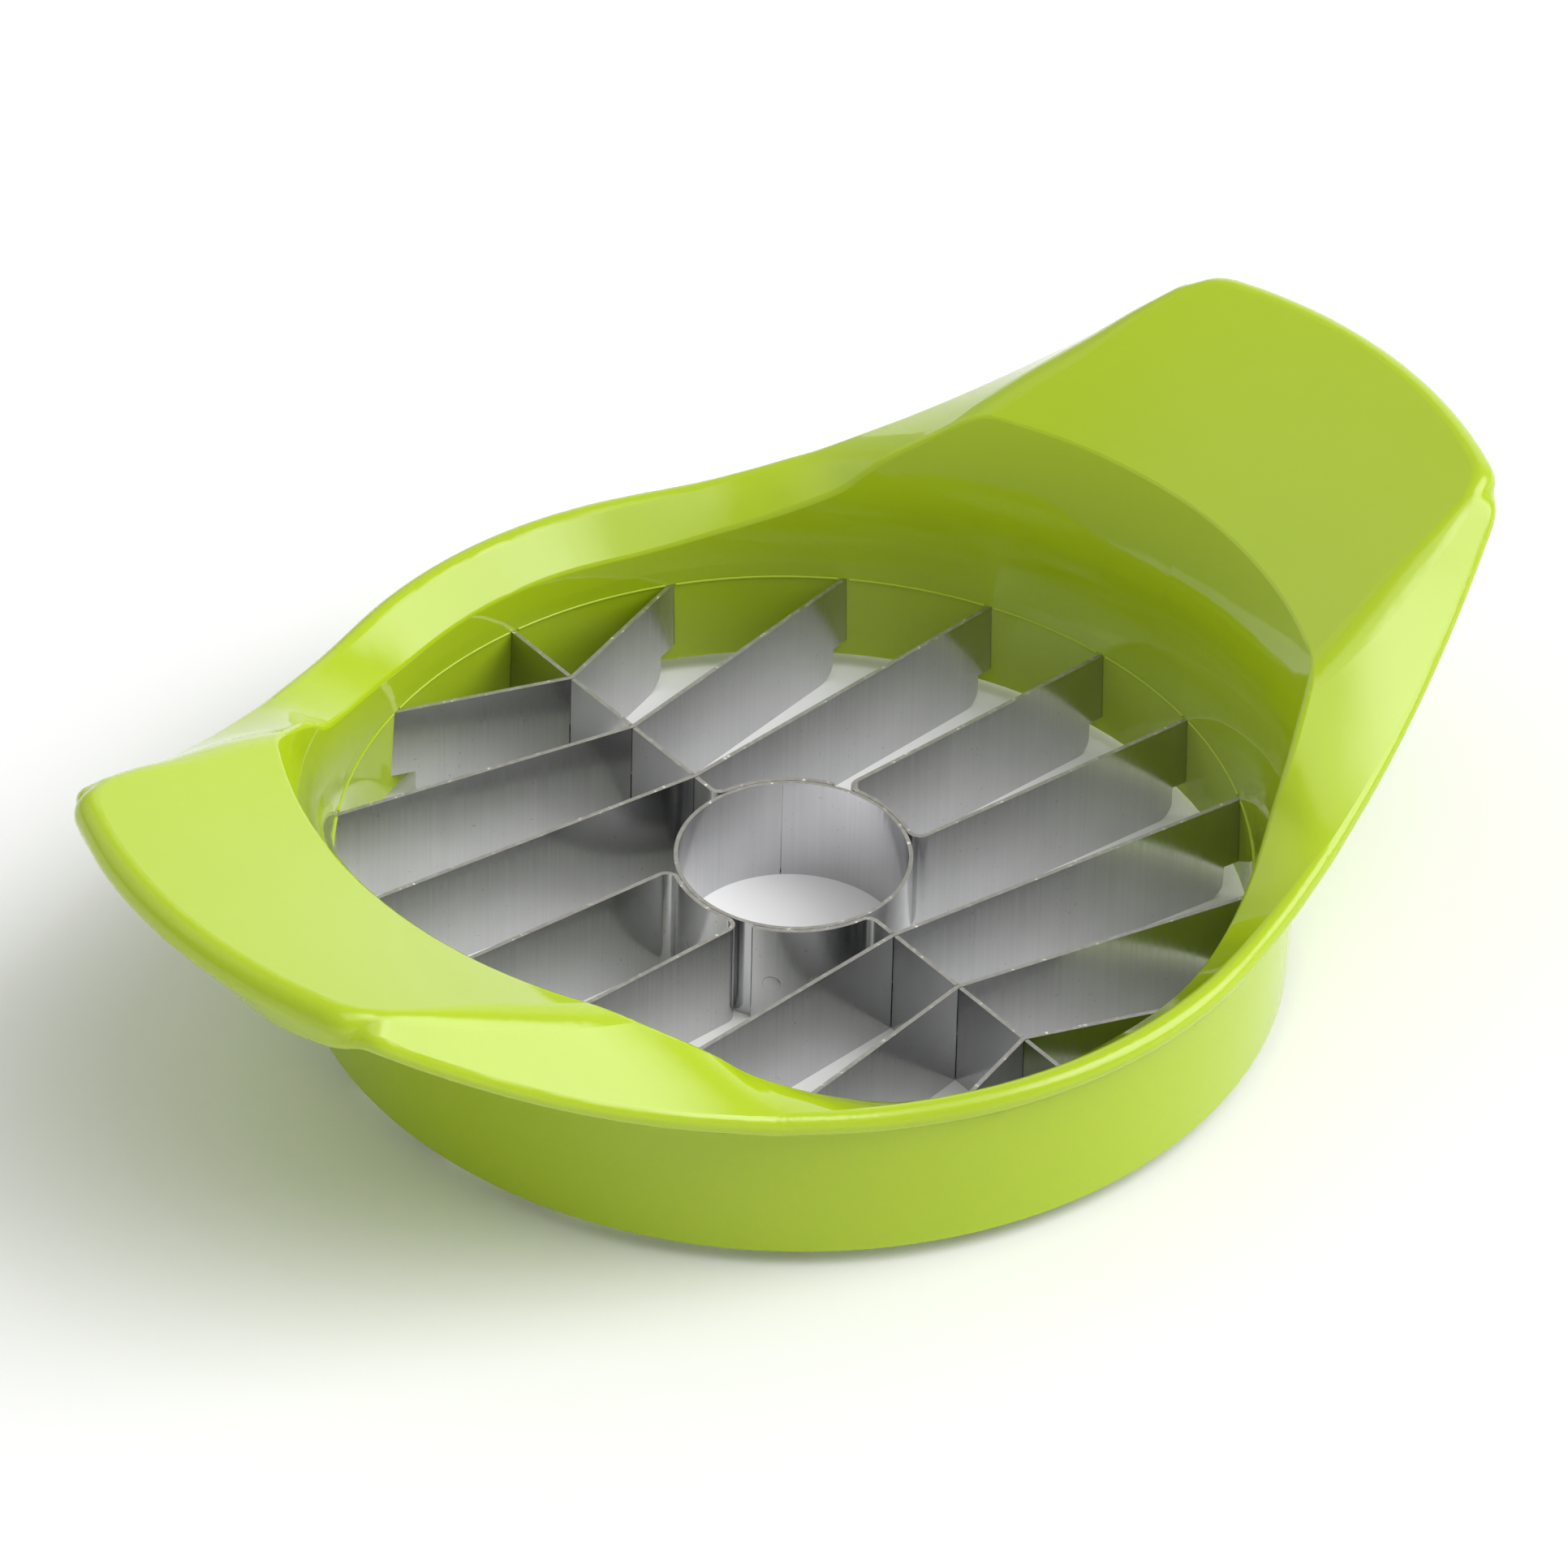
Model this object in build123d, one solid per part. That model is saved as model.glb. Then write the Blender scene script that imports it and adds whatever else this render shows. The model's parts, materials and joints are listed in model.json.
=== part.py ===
from build123d import *
import os
from math import acos, atan2, cos, radians, sin, sqrt

# Apple wedge press: a one-piece moulded frame with two raised grips, and a cutter
# of thin steel strips moulded into its bore.  Millimetres, +Z up.  The origin is on
# the bore's axis, in the plane of the cutting edges that the press rests on.
# +X runs out over one grip, +Y along the cutter's spine.

# ---- cutter strips ----
sheet = 0.5                     # thickness of the strips
strip_height = 12.7
ring_radius = 13.0              # outside of the core ring
ring_wall = 0.45
ring_seam = 0.15                # butt gap where the ring's ends meet
ring_seam_angle = 57
weld_gap = 0.05                 # between the ring and what is welded to it
slot_clearance = 0.08           # round each strip in its half-lap slot
bend_radius = 1.0               # inside the bends beside the ring
foot_end_angle = 33             # where a spine strip's foot ends on the ring
node_distance = 17.39           # first crossing on the spine, from the axis
node_pitch = 11.03
cross_angles = (25.65, 45.1, 67.5)    # where the cross strips meet the wall
fork_angle = 8.4                # where the forked strips meet the wall
fork_root_angle = 25.3          # where they leave the ring
fork_root_gap = 1.0

# ---- strip ends ----
tab_depth = 1.8                 # length moulded into the wall
tab_height = 8.7
tab_clearance = 0.03            # round each tab in its pocket
end_setback = 1.6               # free lower corner, short of the wall
end_corner = 2.0                # rounding of that corner

# ---- bore and skirt ----
bore_radius = 50.0
bore_draft = 0.3                # the bore is wider at its foot by this
skirt_foot = 2.0                # height of the skirt's foot over the cutting edges
skirt_wall = 3.9                # at the foot
skirt_flare = 0.4               # the skirt is wider at its top by this
foot_round = 0.3
funnel_start = 2.0              # over the strips' tops
funnel_radius = 32.0            # the bore flares into the grips on this arc
funnel_back_radius = 36.0       # outside of that wall
funnel_turn = 45                # degrees of arc, to above the grips

# ---- shell of the rim and the grips ----
shell = 2.85
rim_width = 4.9                 # bore to the middle of the bead, at the waist
waist_height = 20.6             # middle of the bead, at the waist
waist_length = 19.5             # from the middle of the waist to where the rim rises
taper_bow = 0.0015              # curvature of the tapering side
rise_radius = 79.0              # the rim rises towards a grip on this curve
waist_lean = 45                 # slope of the flange at the waist
grip_lean = -40                 # slope where it runs into the grip
lean_start = 14.0
lean_length = 40.0

# ---- grips ----
deck_middle = 18.0              # from the bore to where the deck's height is given
deck_height = 39.0
deck_slope = 0.41
deck_bow = 0.0030
grip_reach = 33.85              # from the bore to the end of the grip
grip_end_radius = 58.0
grip_half_width = 33.2          # over the side's rounding, at the grip's root
grip_bow = 0.0068
side_round = 4.3
end_round = 2.0
round_start = 34                # fan angles between which one runs into the other
round_stop = 56
lip_setback = 4.2               # the end's lip leans in by this at its middle
lip_angle = 40                  # fan angle where it stands upright again
lip_height = 36.6
lip_arch = 72.0                 # the lip's edge rises to the corners on this curve
corner_softness = 3.2           # plan rounding of the corners
height_softness = 2.0
inner_round = 0.6               # least radius inside the shell
crease_round = 0.8              # between the funnel and the top

# ---- sections of the shell ----
fan_setback = 8.0               # axis of the fanned sections, inside the bore
root_gap = 4.0                  # they start this far from that axis
stub_turn = 40                  # the part inside the bore, cut away later
stub_length = 8.0
stub_setback = 3.0
straight_steps = (-16, -8, 0, 8, 16, 24, 30, 36)
fan_angles = (90, 82, 74, 66, 58, 51, 45, 40.5, 37, 33, 28, 21, 12, 0, -12, -21)

bead = shell / 2                # the shell ends in a full round
rim_radius = bore_radius + rim_width
fan_x = bore_radius - fan_setback
hug_radius = ring_radius + weld_gap + sheet / 2
bend_middle = bend_radius + sheet / 2
tab_end = bore_radius + tab_depth
past_all = 80.0                 # size of cutters and masks that go past everything


def polar(radius, angle):
    return Vector(radius * cos(radians(angle)), radius * sin(radians(angle)))


def smooth_min(a, b, softness):
    overlap = max(softness - abs(a - b), 0) / softness
    return min(a, b) - softness * overlap ** 3 / 6


def smooth_step(value):
    share = min(max(value, 0), 1)
    return share * share * (3 - 2 * share)


# ---------------------------------------------------------------- rim and grip curves
def side_line():
    """Place and slope of the rim where its arc runs into the tapering side."""
    start = sqrt(rim_radius ** 2 - waist_length ** 2)
    return start, waist_length / start


def side_y(x):
    """Plan of the bead's middle, beside the bore and along the grip's side."""
    if x <= waist_length:
        return sqrt(rim_radius ** 2 - x ** 2)
    start, slope = side_line()
    past = x - waist_length
    return start - slope * past - taper_bow * past ** 2


def ray_to_side(height, slope, bow, angle):
    """Distance from the fan's axis to y = height - slope * u - bow * u ** 2."""
    across = sin(radians(angle))
    along = cos(radians(angle))
    linear = across + slope * along
    return 2 * height / (linear + sqrt(linear ** 2 + 4 * bow * along ** 2 * height))


def ray_to_end(reach, radius, angle):
    """Distance from the fan's axis to the arc that closes a grip."""
    centre = bore_radius + reach - radius - fan_x
    return centre * cos(radians(angle)) + sqrt(radius ** 2 - (centre * sin(radians(angle))) ** 2)


def rim_distance(angle):
    """Where the bead's middle runs if the end's lip stands upright."""
    slope = side_line()[1] + 2 * taper_bow * (fan_x - waist_length)
    side = ray_to_side(side_y(fan_x), slope, taper_bow, angle)
    end = ray_to_end(grip_reach - bead, grip_end_radius - bead, angle)
    return smooth_min(side, end, corner_softness)


def bead_distance(angle):
    return rim_distance(angle) - lip_setback * (1 - smooth_step(angle / lip_angle))


def edge_distance(angle):
    """Outermost reach of the rounding along the deck's edge."""
    side = ray_to_side(grip_half_width, 0, grip_bow, angle)
    return smooth_min(side, rim_distance(angle) + bead, corner_softness)


def bead_height(x, y):
    side = waist_height + max(x - waist_length, 0) ** 2 / (2 * rise_radius)
    end = lip_height + y ** 2 / (2 * lip_arch)
    return smooth_min(side, end, height_softness)


def deck_point(start, outward, distance):
    """Point and heading of the deck, a distance out along a section."""
    place = start + outward * distance
    radius = place.length
    past = radius - bore_radius - deck_middle
    height = deck_height + deck_slope * past - deck_bow * past ** 2
    slope = (deck_slope - 2 * deck_bow * past) * place.dot(outward) / radius
    return Vector(distance, height), Vector(1, slope).normalized()


def normal(heading):
    return Vector(-heading.Y, heading.X)


# ---------------------------------------------------------------- sections of the shell
class Section:
    """One upright cut through the shell: deck, rounding, side and bead.

    Points are (distance out from the section's start, height).  The side is a line
    that touches the rounding's circle and the bead's circle from outside.
    """

    def __init__(self, x, angle):
        self.start = Vector(x, 0)
        self.outward = polar(1, angle)
        if x == fan_x:
            self.set_by_deck(abs(angle))
        else:
            self.set_by_side(abs(x))
        across = self.side + self.deck
        self.corner_step = across * (1 / (1 + self.side.dot(self.deck)))
        self.corner = self.centre + self.corner_step * self.round

    def set_by_deck(self, angle):
        share = smooth_step((angle - round_start) / (round_stop - round_start))
        self.round = end_round + (side_round - end_round) * share
        reach = edge_distance(angle) - self.round
        top, self.heading = deck_point(self.start, self.outward, reach)
        self.deck = normal(self.heading)
        self.centre = Vector(reach, top.Y - self.round / self.heading.X)
        place = self.start + self.outward * bead_distance(angle)
        self.bead = Vector(bead_distance(angle), bead_height(place.X, abs(place.Y)))
        gap = self.bead - self.centre
        turn = atan2(gap.Y, gap.X) + acos((self.round - bead) / gap.length)
        self.side = Vector(cos(turn), sin(turn))
        self.root, self.root_heading = deck_point(self.start, self.outward, root_gap)

    def set_by_side(self, x):
        share = smooth_step((x - lean_start) / lean_length)
        lean = waist_lean + (grip_lean - waist_lean) * share
        self.round = side_round
        self.side = polar(1, lean + 90)
        self.bead = Vector(side_y(x), bead_height(x, side_y(x)))
        inside = sqrt(max((bore_radius - stub_setback) ** 2 - x ** 2, 0))
        reach = max(grip_half_width - side_round, inside)
        level = self.side.dot(self.bead) + bead - self.round
        self.centre = Vector(reach, (level - self.side.X * reach) / self.side.Y)
        self.heading = polar(1, lean + stub_turn)
        self.deck = normal(self.heading)
        self.root = self.centre + self.deck * self.round - self.heading * stub_length
        self.root_heading = self.heading

    def edges(self, depth):
        """Deck, rounding and side, at a depth under the outside."""
        radius = max(self.round - depth, inner_round)
        centre = self.corner - self.corner_step * (depth + radius)
        deck_end = centre + self.deck * radius
        side_start = centre + self.side * radius
        middle = centre + (self.deck + self.side).normalized() * radius
        side_end = self.bead + self.side * (bead - depth)
        root = self.root - normal(self.root_heading) * depth
        third = (deck_end - root).length / 3
        leave = root + self.root_heading * third
        arrive = deck_end - self.heading * third
        return [
            Bezier(root, leave, arrive, deck_end),
            ThreePointArc(deck_end, middle, side_start),
            Line(side_start, side_end),
        ]

    def face(self, edges):
        across = (self.outward.Y, -self.outward.X, 0)
        plane = Plane(origin=(self.start.X, 0, 0), x_dir=self.outward, z_dir=across)
        return plane * make_face(edges)

    def shell_face(self):
        outer = self.edges(0)
        inner = self.edges(shell)
        tip = self.bead + Vector(self.side.Y, -self.side.X) * bead
        round_end = ThreePointArc(outer[-1] @ 1, tip, inner[-1] @ 1)
        root_end = Line(inner[0] @ 0, outer[0] @ 0)
        return self.face(outer + [round_end] + inner + [root_end])

    def under_face(self):
        """All that lies under the middle of the shell."""
        middle = self.edges(shell / 2)
        start = middle[0] @ 0
        end = middle[-1] @ 1
        sides = Polyline(end, (end.X, -past_all), (start.X, -past_all), start)
        return self.face(middle + [sides])


# ---------------------------------------------------------------- cutter
def arm(start, angle):
    """Far end of a strip that runs from start into the wall at an angle."""
    wall = polar(bore_radius, angle)
    return wall + (wall - start).normalized() * 2 * tab_depth


def cross_path(index):
    node = Vector(0, node_distance + index * node_pitch)
    end = arm(node, cross_angles[index])
    return Wire(Polyline((-end.X, end.Y), node, end).edges())


def spine_path():
    """Down the spine, round a small bend and along the outside of the ring."""
    bend = Vector(bend_middle, sqrt((hug_radius + bend_middle) ** 2 - bend_middle ** 2))
    touch = bend.normalized() * hug_radius
    turned = (touch - bend).normalized() + Vector(-1, 0)
    bend_mid = bend + turned.normalized() * bend_middle
    foot_end = polar(hug_radius, foot_end_angle)
    foot_mid = (touch + foot_end).normalized() * hug_radius
    leg = Line((0, bore_radius + 2 * tab_depth), (0, bend.Y))
    turn = ThreePointArc((0, bend.Y), bend_mid, touch)
    foot = ThreePointArc(touch, foot_mid, foot_end)
    return Wire([leg.edge(), turn.edge(), foot.edge()])


def fork_path():
    """In along one arm, round the ring's side and out along the other arm."""
    root = polar(ring_radius + fork_root_gap, fork_root_angle)
    end = arm(root, fork_angle)
    along = (end - root).normalized()
    up = normal(along)
    base = root - up * bend_middle
    shift = base.dot(along)
    reach = hug_radius + bend_middle
    bend = base + along * (sqrt(shift ** 2 - base.dot(base) + reach ** 2) - shift)
    touch = bend.normalized() * hug_radius
    leave = bend + up * bend_middle
    bend_mid = bend + ((touch - bend).normalized() + up).normalized() * bend_middle
    upper = [Line(end, leave).edge(), ThreePointArc(leave, bend_mid, touch).edge()]
    hug = ThreePointArc(touch, (hug_radius, 0), (touch.X, -touch.Y)).edge()
    lower = [mirror(edge, Plane.XZ).edge() for edge in upper]
    return Wire(upper + [hug] + lower)


def upright(path, clearance, bottom, top):
    """A strip's path, thickened and raised."""
    outline = path.offset_2d(sheet / 2 + clearance)
    return Pos(0, 0, bottom) * extrude(make_face(outline.edges()), top - bottom, dir=(0, 0, 1))


def strip_envelope():
    """Turned space of all strips, with the tabs and the free lower corners."""
    free = bore_radius - end_setback
    tab_foot = strip_height - tab_height
    corner = Vector(free - end_corner, end_corner)
    middle = corner + polar(end_corner, -45)
    low = Line((0, 0), (corner.X, 0))
    turn = ThreePointArc((corner.X, 0), middle, (free, corner.Y))
    outside = Polyline(
        (free, corner.Y),
        (free, tab_foot),
        (tab_end, tab_foot),
        (tab_end, strip_height),
        (0, strip_height),
        (0, 0),
    )
    profile = make_face([low.edge(), turn.edge()] + list(outside.edges()))
    return revolve(Plane.XZ * profile, Axis.Z)


def strip(path):
    return upright(path, 0, 0, strip_height) & strip_envelope()


def spine_blade():
    """One half of the spine, with a slot from above at each crossing."""
    blade = strip(spine_path())
    for index in range(len(cross_angles)):
        blade -= upright(cross_path(index), slot_clearance, strip_height / 2, past_all)
    return blade


def cross_blade(index):
    """A bent strip with a slot from below, where it straddles the spine."""
    width = sheet + 2 * slot_clearance
    height = strip_height / 2 + slot_clearance
    slot = Box(width, past_all, height, align=(Align.CENTER, Align.MIN, Align.MIN))
    return strip(cross_path(index)) - slot


def core_ring():
    ring = Cylinder(ring_radius, strip_height) - Cylinder(ring_radius - ring_wall, strip_height)
    seam = Box(ring_radius * 2, ring_seam, strip_height, align=(Align.MIN, Align.CENTER, Align.CENTER))
    return Pos(0, 0, strip_height / 2) * (ring - Rot(0, 0, ring_seam_angle) * seam)


# ---------------------------------------------------------------- frame
def flare(base, radius):
    """Arc on which a wall of the bore leans out over the strips."""
    centre = Vector(base + radius, strip_height + funnel_start)
    middle = centre + polar(radius, 180 - funnel_turn / 2)
    end = centre + polar(radius, 180 - funnel_turn)
    return ThreePointArc((base, centre.Y), middle, end)


def skirt_and_funnel():
    """The wall round the bore as one turned ring, too thick inside and too high."""
    foot = bore_radius + bore_draft + skirt_wall
    top = foot + skirt_flare
    inner = bore_radius - stub_setback
    back = flare(top, funnel_back_radius)
    low = Polyline((inner, skirt_foot), (foot, skirt_foot), back @ 0)
    high = Polyline(back @ 1, (inner, (back @ 1).Y), (inner, skirt_foot))
    profile = make_face(list(low.edges()) + [back.edge()] + list(high.edges()))
    ring = revolve(Plane.XZ * profile, Axis.Z)
    rims = ring.edges().filter_by(GeomType.CIRCLE).group_by(Axis.Z)[0]
    return fillet(rims.sort_by(SortBy.RADIUS)[-1], foot_round)


def bore_space():
    """The bore with its draft, the funnel over it and the space above."""
    foot = bore_radius + bore_draft
    front = flare(bore_radius, funnel_radius)
    low = Polyline((0, -past_all), (foot, -past_all), (foot, skirt_foot), (bore_radius, strip_height))
    wall = Line((bore_radius, strip_height), front @ 0)
    high = Polyline(front @ 1, ((front @ 1).X, past_all), (0, past_all), (0, -past_all))
    profile = make_face(list(low.edges()) + [wall.edge(), front.edge()] + list(high.edges()))
    return revolve(Plane.XZ * profile, Axis.Z)


def quarter_frame():
    """Shell, skirt and funnel of one quarter, with the bore cut out."""
    cuts = [Section(x, 90) for x in straight_steps]
    cuts += [Section(fan_x, angle) for angle in fan_angles]
    rim = loft([cut.shell_face() for cut in cuts])
    under = loft([cut.under_face() for cut in cuts])
    body = (rim + (skirt_and_funnel() & under)) - bore_space()
    size = past_all * 2
    body &= Box(size, size, size, align=(Align.MIN, Align.MIN, Align.CENTER))
    funnel = body.faces().filter_by(GeomType.TORUS).sort_by(Axis.Z)[-1]
    return fillet(funnel.edges().filter_by(GeomType.BSPLINE), crease_round)


def frame():
    quarter = quarter_frame()
    half = quarter + mirror(quarter, Plane.YZ)
    body = half + mirror(half, Plane.XZ)
    bottom = strip_height - tab_height - tab_clearance
    top = strip_height + tab_clearance
    reach = Cylinder(tab_end + tab_clearance, past_all)
    for path in (spine_path(), fork_path(), *[cross_path(i) for i in range(len(cross_angles))]):
        tabs = upright(path, tab_clearance, bottom, top) & reach
        body -= tabs + Rot(0, 0, 180) * tabs
    return body


def save(name, shape):
    export_step(shape, f"parts/{name}.step")


os.makedirs("parts", exist_ok=True)
save("frame", frame())
save("core_ring", core_ring())
for side, turn in (("rear", 0), ("front", 180)):
    save(f"spine_blade_{side}", Rot(0, 0, turn) * spine_blade())
    for index, place in enumerate(("inner", "middle", "outer")):
        save(f"cross_blade_{side}_{place}", Rot(0, 0, turn) * cross_blade(index))
for side, turn in (("right", 0), ("left", 180)):
    save(f"forked_blade_{side}", Rot(0, 0, turn) * strip(fork_path()))
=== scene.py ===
import json
import math

import bmesh
import bpy
from mathutils import Matrix, Vector


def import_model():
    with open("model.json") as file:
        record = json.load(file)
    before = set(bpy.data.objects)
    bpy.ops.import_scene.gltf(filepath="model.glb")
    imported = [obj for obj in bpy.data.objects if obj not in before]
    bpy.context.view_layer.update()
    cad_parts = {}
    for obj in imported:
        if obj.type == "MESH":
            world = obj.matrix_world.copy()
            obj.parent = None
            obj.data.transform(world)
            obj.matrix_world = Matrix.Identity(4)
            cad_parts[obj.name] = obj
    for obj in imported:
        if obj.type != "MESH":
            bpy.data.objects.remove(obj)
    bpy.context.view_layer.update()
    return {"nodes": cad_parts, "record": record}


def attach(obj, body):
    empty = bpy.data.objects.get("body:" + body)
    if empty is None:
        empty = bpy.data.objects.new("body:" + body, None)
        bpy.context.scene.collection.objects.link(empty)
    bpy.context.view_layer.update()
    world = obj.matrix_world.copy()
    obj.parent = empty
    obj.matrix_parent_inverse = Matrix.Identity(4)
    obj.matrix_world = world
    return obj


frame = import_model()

# Apple wedge press: a moulded plastic frame round a cutter of thin steel strips.  Nothing moves.
# Lengths are metres and angles degrees.  +X points to the right grip, +Y along the spine, +Z up.
# Azimuth 0 is +X and azimuth 90 is +Y.

MM = 0.001

# Camera.
CAMERA_PLACE = Vector((-0.6461, -0.7875, 0.8196))
CAMERA_TARGET = Vector((0.00688, 0.01032, 0.0127))
CAMERA_ROLL = 1.4
CAMERA_LENS = 274.91                    # focal length and sensor in millimetres
CAMERA_SENSOR = 36.0
CAMERA_NEAR = 0.05
CAMERA_FAR = 20.0

# Studio: an even level from all round, and soft lights.
WORLD_LEVEL = 0.5
LOBES = (                               # azimuth, elevation, level
    (-40, 38, 4.4),                     # key
    (-70, 64, 1.6),                     # overhead
    (110, 38, 0.6),                     # fill
    (35, 12, 0.7),                      # low, from behind
)
LOBE_EDGE = 34.0                        # from a light's middle to where it ends
LOBE_CORE = 4.0                         # from its middle to where it starts to fade

FLOOR_SIZE = 6.0
FLOOR_COLOUR = (0.85, 0.85, 0.85, 1.0)
FLOOR_ROUGHNESS = 0.9

# Finishes.  The sizes of noise are cells per metre, and pairs are a lowest and a highest value.
NOISE_RANGE = (0.25, 0.75)              # where most of a noise's values lie

GREEN = (0.378, 0.512, 0.012, 1.0)
GREEN_LIGHT = (0.394, 0.528, 0.014, 1.0)
GREEN_CLOUDS = 25
GREEN_GRAIN = 900
GREEN_ROUGHNESS = (0.04, 0.06)
GREEN_SPECULAR = 0.5
GREEN_SUBSURFACE = 0.25
GREEN_SUBSURFACE_RADIUS = (1.0, 1.0, 0.3)
GREEN_SUBSURFACE_SCALE = 1.2 * MM
GREEN_BUMP = 0.004 * MM

STEEL = (0.62, 0.62, 0.63, 1.0)
STEEL_DARK = (0.55, 0.55, 0.565, 1.0)
STEEL_SMUDGES = 120
STEEL_ROUGHNESS = (0.13, 0.21)
STEEL_BUMP = 0.002 * MM

STREAK = (0.46, 0.46, 0.475, 1.0)
STREAK_SHARE = (0.0, 0.3)
STREAKS_ACROSS = 2500
STREAKS_UPWARD = 40

SPECK = (0.36, 0.35, 0.34, 1.0)
SPECKS = 2400
SPECK_START = (0.74, 0.79)              # the noise values where specks begin and are full

SHEARED = (0.53, 0.515, 0.475, 1.0)     # the strips' top edges, as cut
SHEARED_DARK = (0.38, 0.37, 0.34, 1.0)
SHEARED_GRAIN = 1600
SHEARED_ROUGHNESS = (0.34, 0.55)
SHEARED_START = (0.6, 0.9)              # the upward parts of the normal where edges begin

BURR = (0.95, 0.94, 0.90, 1.0)
BURR_START = (0.66, 0.72)

# Details too fine for the frame.  The radii of the bore and the straps, the strips' height and their
# angles are the frame's.
BORE_RADIUS = 50.0 * MM
STRIP_TOP = 12.7 * MM
STRAP_RADIUS = 13.55 * MM               # outside of what is welded round the ring
WALL_ANGLES = (8.4, 25.65, 45.1, 67.5)  # where strips meet the wall, in one quarter
SPINE_ANGLES = (90, 270)

RIDGE_RADIUS = 0.16 * MM
RIDGE_GAP = 0.7                         # left free beside a strip
RIDGE_STEPS = 12
RIDGE_RESOLUTION = 3

WELD_FOOT_ANGLES = (42, 62)             # on the spine's foot
WELD_STRAP_ANGLES = (-9, 9)             # on the forked strip, each side of its middle
WELD_HEIGHT = 5.4 * MM
WELD_RADIUS = 1.0 * MM
WELD_RISE = 0.06 * MM
WELD_SEGMENTS = 24
WELD_RINGS = 12


def around(radius, angle, height):
    """The point at a radius, an angle and a height round the bore's axis."""
    turn = math.radians(angle)
    return Vector((radius * math.cos(turn), radius * math.sin(turn), height))


def new_material(name):
    material = bpy.data.materials.new(name)
    material.use_nodes = True
    tree = material.node_tree
    tree.nodes.clear()
    output = tree.nodes.new("ShaderNodeOutputMaterial")
    shader = tree.nodes.new("ShaderNodeBsdfPrincipled")
    tree.links.new(shader.outputs["BSDF"], output.inputs["Surface"])
    return material, tree, shader


def noise(tree, place, cells, detail, cells_upward=None):
    """Noise with even cells, or with cells of another height where cells_upward is given."""
    mapping = tree.nodes.new("ShaderNodeMapping")
    mapping.inputs["Scale"].default_value = (cells, cells, cells_upward or cells)
    texture = tree.nodes.new("ShaderNodeTexNoise")
    texture.inputs["Scale"].default_value = 1.0
    texture.inputs["Detail"].default_value = detail
    tree.links.new(place, mapping.inputs["Vector"])
    tree.links.new(mapping.outputs["Vector"], texture.inputs["Vector"])
    return texture.outputs["Fac"]


def remap(tree, value, given, wanted=(0.0, 1.0), fade="LINEAR"):
    """A value moved from the given range to the wanted one, and held at the ends."""
    node = tree.nodes.new("ShaderNodeMapRange")
    node.interpolation_type = fade
    for name, number in zip(("From Min", "From Max", "To Min", "To Max"), (*given, *wanted)):
        node.inputs[name].default_value = number
    tree.links.new(value, node.inputs["Value"])
    return node.outputs["Result"]


def colour_socket(sockets, name):
    return next(socket for socket in sockets if socket.name == name and socket.type == "RGBA")


def mix_colour(tree, share, first, second):
    """Two colours mixed, each a value or a link."""
    node = tree.nodes.new("ShaderNodeMix")
    node.data_type = "RGBA"
    for name, colour in (("A", first), ("B", second)):
        socket = colour_socket(node.inputs, name)
        if isinstance(colour, tuple):
            socket.default_value = colour
        else:
            tree.links.new(colour, socket)
    tree.links.new(share, node.inputs["Factor"])
    return colour_socket(node.outputs, "Result")


def mix_value(tree, share, first, second):
    node = tree.nodes.new("ShaderNodeMix")
    for name, value in (("Factor", share), ("A", first), ("B", second)):
        tree.links.new(value, node.inputs[name])
    return node.outputs["Result"]


def bump(tree, shader, height, distance):
    node = tree.nodes.new("ShaderNodeBump")
    node.inputs["Strength"].default_value = 1.0
    node.inputs["Distance"].default_value = distance
    tree.links.new(height, node.inputs["Height"])
    tree.links.new(node.outputs["Normal"], shader.inputs["Normal"])


def green_plastic():
    material, tree, shader = new_material("green_plastic")
    place = tree.nodes.new("ShaderNodeTexCoord").outputs["Object"]
    clouds = noise(tree, place, GREEN_CLOUDS, detail=2.0)
    grain = noise(tree, place, GREEN_GRAIN, detail=3.0)
    colour = mix_colour(tree, remap(tree, clouds, NOISE_RANGE), GREEN, GREEN_LIGHT)
    tree.links.new(colour, shader.inputs["Base Color"])
    tree.links.new(remap(tree, grain, NOISE_RANGE, GREEN_ROUGHNESS), shader.inputs["Roughness"])
    shader.inputs["Specular IOR Level"].default_value = GREEN_SPECULAR
    shader.inputs["Subsurface Weight"].default_value = GREEN_SUBSURFACE
    shader.inputs["Subsurface Radius"].default_value = GREEN_SUBSURFACE_RADIUS
    shader.inputs["Subsurface Scale"].default_value = GREEN_SUBSURFACE_SCALE
    bump(tree, shader, grain, GREEN_BUMP)
    return material


def steel_face(tree, place, grain):
    """The colour of a strip's sides: smudges, upright streaks and specks."""
    smudges = noise(tree, place, STEEL_SMUDGES, detail=3.0)
    specks = noise(tree, place, SPECKS, detail=1.0)
    colour = mix_colour(tree, remap(tree, smudges, NOISE_RANGE), STEEL_DARK, STEEL)
    colour = mix_colour(tree, remap(tree, grain, NOISE_RANGE, STREAK_SHARE), colour, STREAK)
    return mix_colour(tree, remap(tree, specks, SPECK_START), colour, SPECK)


def sheared_edge(tree, grain):
    """The colour of a strip's top edge, with bright burrs."""
    colour = mix_colour(tree, remap(tree, grain, NOISE_RANGE), SHEARED_DARK, SHEARED)
    return mix_colour(tree, remap(tree, grain, BURR_START), colour, BURR)


def facing_up(tree):
    """1 on the sheared top edges of the strips, and 0 on their sides."""
    axes = tree.nodes.new("ShaderNodeSeparateXYZ")
    tree.links.new(tree.nodes.new("ShaderNodeNewGeometry").outputs["Normal"], axes.inputs["Vector"])
    return remap(tree, axes.outputs["Z"], SHEARED_START)


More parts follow.
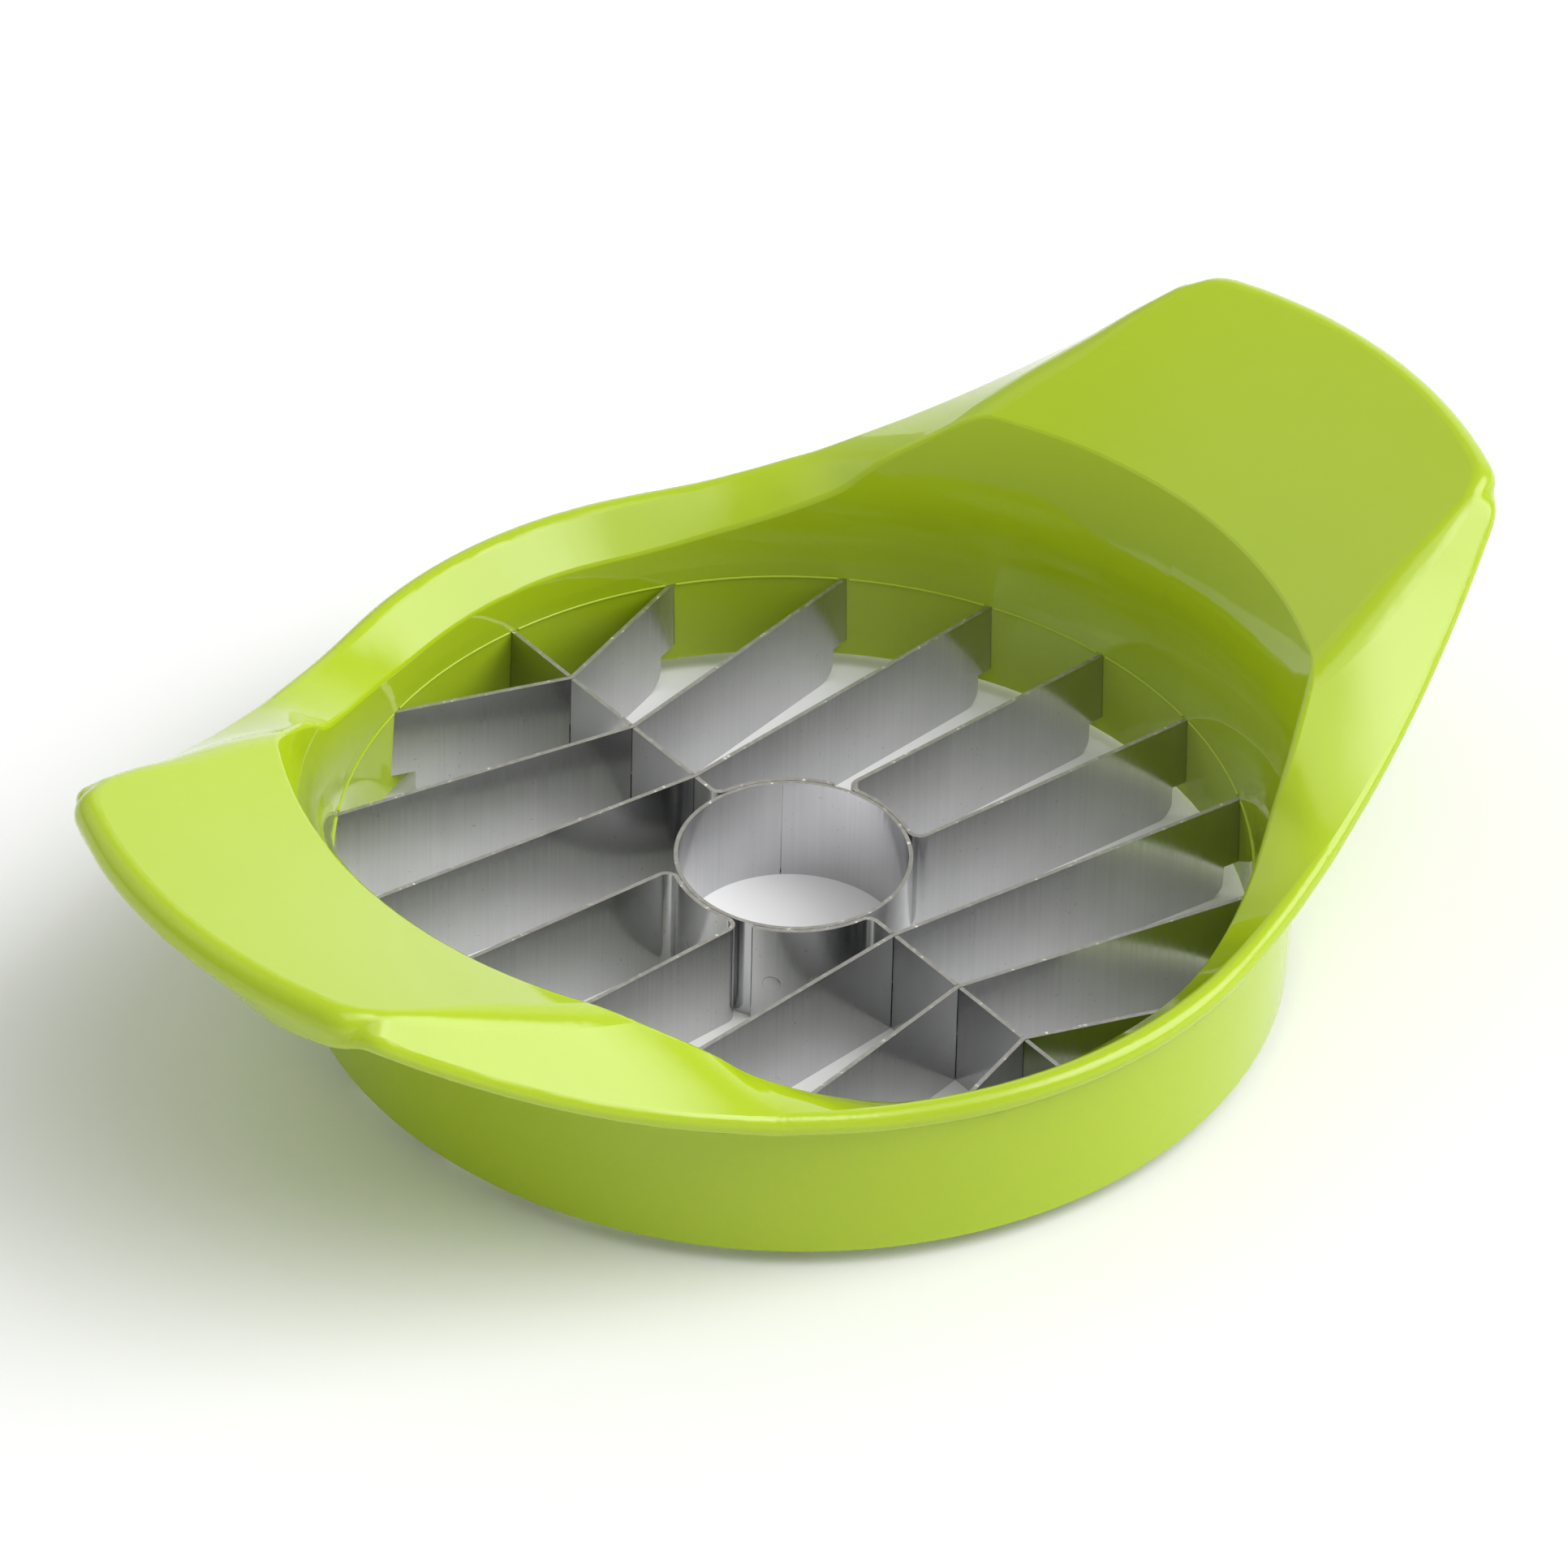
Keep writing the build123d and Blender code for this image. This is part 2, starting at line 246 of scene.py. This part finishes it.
def steel():
    material, tree, shader = new_material("steel")
    place = tree.nodes.new("ShaderNodeTexCoord").outputs["Object"]
    streaks = noise(tree, place, STREAKS_ACROSS, detail=2.0, cells_upward=STREAKS_UPWARD)
    edge_grain = noise(tree, place, SHEARED_GRAIN, detail=2.0)
    top = facing_up(tree)
    colour = mix_colour(tree, top, steel_face(tree, place, streaks), sheared_edge(tree, edge_grain))
    tree.links.new(colour, shader.inputs["Base Color"])
    face_roughness = remap(tree, streaks, NOISE_RANGE, STEEL_ROUGHNESS)
    edge_roughness = remap(tree, edge_grain, NOISE_RANGE, SHEARED_ROUGHNESS)
    tree.links.new(mix_value(tree, top, face_roughness, edge_roughness), shader.inputs["Roughness"])
    shader.inputs["Metallic"].default_value = 1.0
    bump(tree, shader, streaks, STEEL_BUMP)
    return material


def dress_nodes(finishes):
    """Give each of the frame's nodes the finish of its own slot."""
    for subpart in frame["record"]["subparts"]:
        finish = finishes[subpart["material_slot"]]
        for material_slot in frame["nodes"][subpart["node"]].material_slots:
            material_slot.material = finish


def add_piece(name, data):
    piece = bpy.data.objects.new(name, data)
    bpy.context.scene.collection.objects.link(piece)
    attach(piece, "root")


def strip_ends():
    """The angles of all strip ends at the wall, in order round the bore."""
    angles = list(SPINE_ANGLES)
    for angle in WALL_ANGLES:
        angles += [angle, 180 - angle, 180 + angle, 360 - angle]
    return sorted(angles)


def witness_ridges(finish):
    """The mould's parting line on the bore's wall, from strip to strip."""
    curve = bpy.data.curves.new("witness_ridges", "CURVE")
    curve.dimensions = "3D"
    curve.bevel_depth = RIDGE_RADIUS
    curve.bevel_resolution = RIDGE_RESOLUTION
    curve.use_fill_caps = True
    ends = strip_ends()
    for start, end in zip(ends, ends[1:] + [ends[0] + 360]):
        first = start + RIDGE_GAP
        step = (end - RIDGE_GAP - first) / RIDGE_STEPS
        spline = curve.splines.new("POLY")
        spline.points.add(RIDGE_STEPS)
        for index, point in enumerate(spline.points):
            point.co = (*around(BORE_RADIUS, first + index * step, STRIP_TOP), 1)
    curve.materials.append(finish)
    add_piece("witness_ridges", curve)


def weld_spot(name, angle, finish):
    """A shallow round print on the outside of a strap."""
    mesh = bpy.data.meshes.new(name)
    shape = bmesh.new()
    bmesh.ops.create_uvsphere(shape, u_segments=WELD_SEGMENTS, v_segments=WELD_RINGS, radius=1)
    flatten = Matrix.Diagonal((WELD_RISE, WELD_RADIUS, WELD_RADIUS, 1))
    turn = Matrix.Rotation(math.radians(angle), 4, "Z")
    shift = Matrix.Translation(around(STRAP_RADIUS, angle, WELD_HEIGHT))
    shape.transform(shift @ turn @ flatten)
    shape.to_mesh(mesh)
    shape.free()
    mesh.shade_smooth()
    mesh.materials.append(finish)
    add_piece(name, mesh)


def weld_spots(finish):
    """The same spots on both halves of the cutter, half a turn apart."""
    half = WELD_FOOT_ANGLES + WELD_STRAP_ANGLES
    other_half = tuple(angle + 180 for angle in half)
    for number, angle in enumerate(half + other_half, start=1):
        weld_spot(f"weld_spot_{number}", angle, finish)


def floor():
    bpy.ops.mesh.primitive_plane_add(size=FLOOR_SIZE)
    plane = bpy.context.object
    plane.name = "floor"
    material, _, shader = new_material("white_floor")
    shader.inputs["Base Color"].default_value = FLOOR_COLOUR
    shader.inputs["Roughness"].default_value = FLOOR_ROUGHNESS
    shader.inputs["Specular IOR Level"].default_value = 0.0
    plane.data.materials.append(material)


def lobe(tree, view, azimuth, elevation, level):
    """What a soft light adds in the direction of view."""
    tilt = math.radians(elevation)
    aim = tree.nodes.new("ShaderNodeVectorMath")
    aim.operation = "DOT_PRODUCT"
    aim.inputs[1].default_value = around(math.cos(tilt), azimuth, math.sin(tilt))
    tree.links.new(view, aim.inputs[0])
    edge_to_core = (math.cos(math.radians(LOBE_EDGE)), math.cos(math.radians(LOBE_CORE)))
    return remap(tree, aim.outputs["Value"], edge_to_core, (0.0, level), "SMOOTHERSTEP")


def world():
    studio = bpy.data.worlds.new("studio")
    bpy.context.scene.world = studio
    studio.use_nodes = True
    tree = studio.node_tree
    tree.nodes.clear()
    output = tree.nodes.new("ShaderNodeOutputWorld")
    background = tree.nodes.new("ShaderNodeBackground")
    background.inputs["Color"].default_value = (1, 1, 1, 1)
    view = tree.nodes.new("ShaderNodeTexCoord").outputs["Generated"]
    total = tree.nodes.new("ShaderNodeValue").outputs["Value"]
    total.default_value = WORLD_LEVEL
    for light in LOBES:
        add = tree.nodes.new("ShaderNodeMath")
        add.operation = "ADD"
        tree.links.new(total, add.inputs[0])
        tree.links.new(lobe(tree, view, *light), add.inputs[1])
        total = add.outputs["Value"]
    tree.links.new(total, background.inputs["Strength"])
    tree.links.new(background.outputs["Background"], output.inputs["Surface"])


def camera():
    data = bpy.data.cameras.new("camera")
    data.lens = CAMERA_LENS
    data.sensor_width = CAMERA_SENSOR
    data.clip_start = CAMERA_NEAR
    data.clip_end = CAMERA_FAR
    eye = bpy.data.objects.new("camera", data)
    look = (CAMERA_TARGET - CAMERA_PLACE).to_track_quat("-Z", "Y").to_matrix().to_4x4()
    roll = Matrix.Rotation(math.radians(CAMERA_ROLL), 4, "Z")
    eye.matrix_world = Matrix.Translation(CAMERA_PLACE) @ look @ roll
    bpy.context.scene.collection.objects.link(eye)
    bpy.context.scene.camera = eye


bpy.context.scene.view_settings.view_transform = "Standard"
finishes = {"green_plastic": green_plastic(), "steel": steel()}
dress_nodes(finishes)
witness_ridges(finishes["green_plastic"])
weld_spots(finishes["steel"])
floor()
world()
camera()
